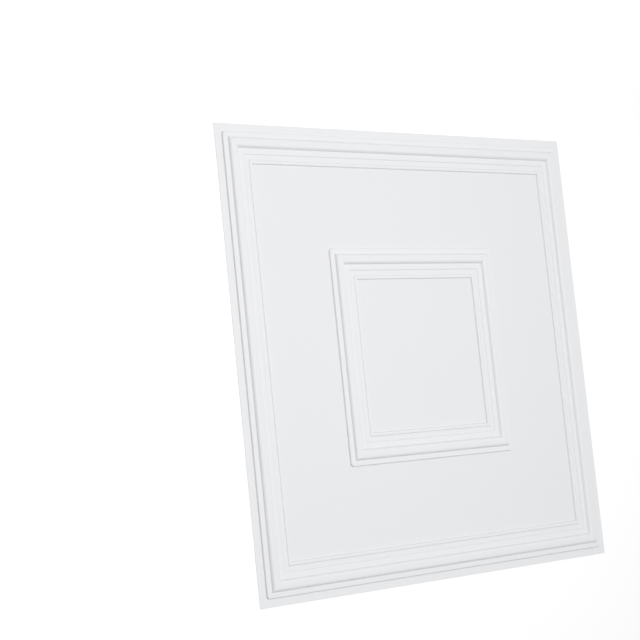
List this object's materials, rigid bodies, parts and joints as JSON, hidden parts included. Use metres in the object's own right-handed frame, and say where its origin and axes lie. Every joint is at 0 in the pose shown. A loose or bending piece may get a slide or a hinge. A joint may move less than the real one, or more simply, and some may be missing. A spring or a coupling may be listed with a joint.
{
  "type": "pvc ceiling tile",
  "caption": "Square lay-in ceiling tile formed from thin white PVC sheet, with a raised moulding frame near its edge, a smaller frame inside it, flat fields and a hollow back.",
  "frame": {"origin": "middle of the tile, on the plane of the back of its border, field and centre", "axes": "+Z out of the decorated face, +X and +Y along the sides; the tile lies on its back, face up"},
  "size_m": [0.603, 0.603, 0.0074],
  "materials": {
    "white_pvc": "smooth matt white rigid PVC"
  },
  "bodies": {
    "root": {"ceiling_tile": "white_pvc"}
  },
  "joints": []
}
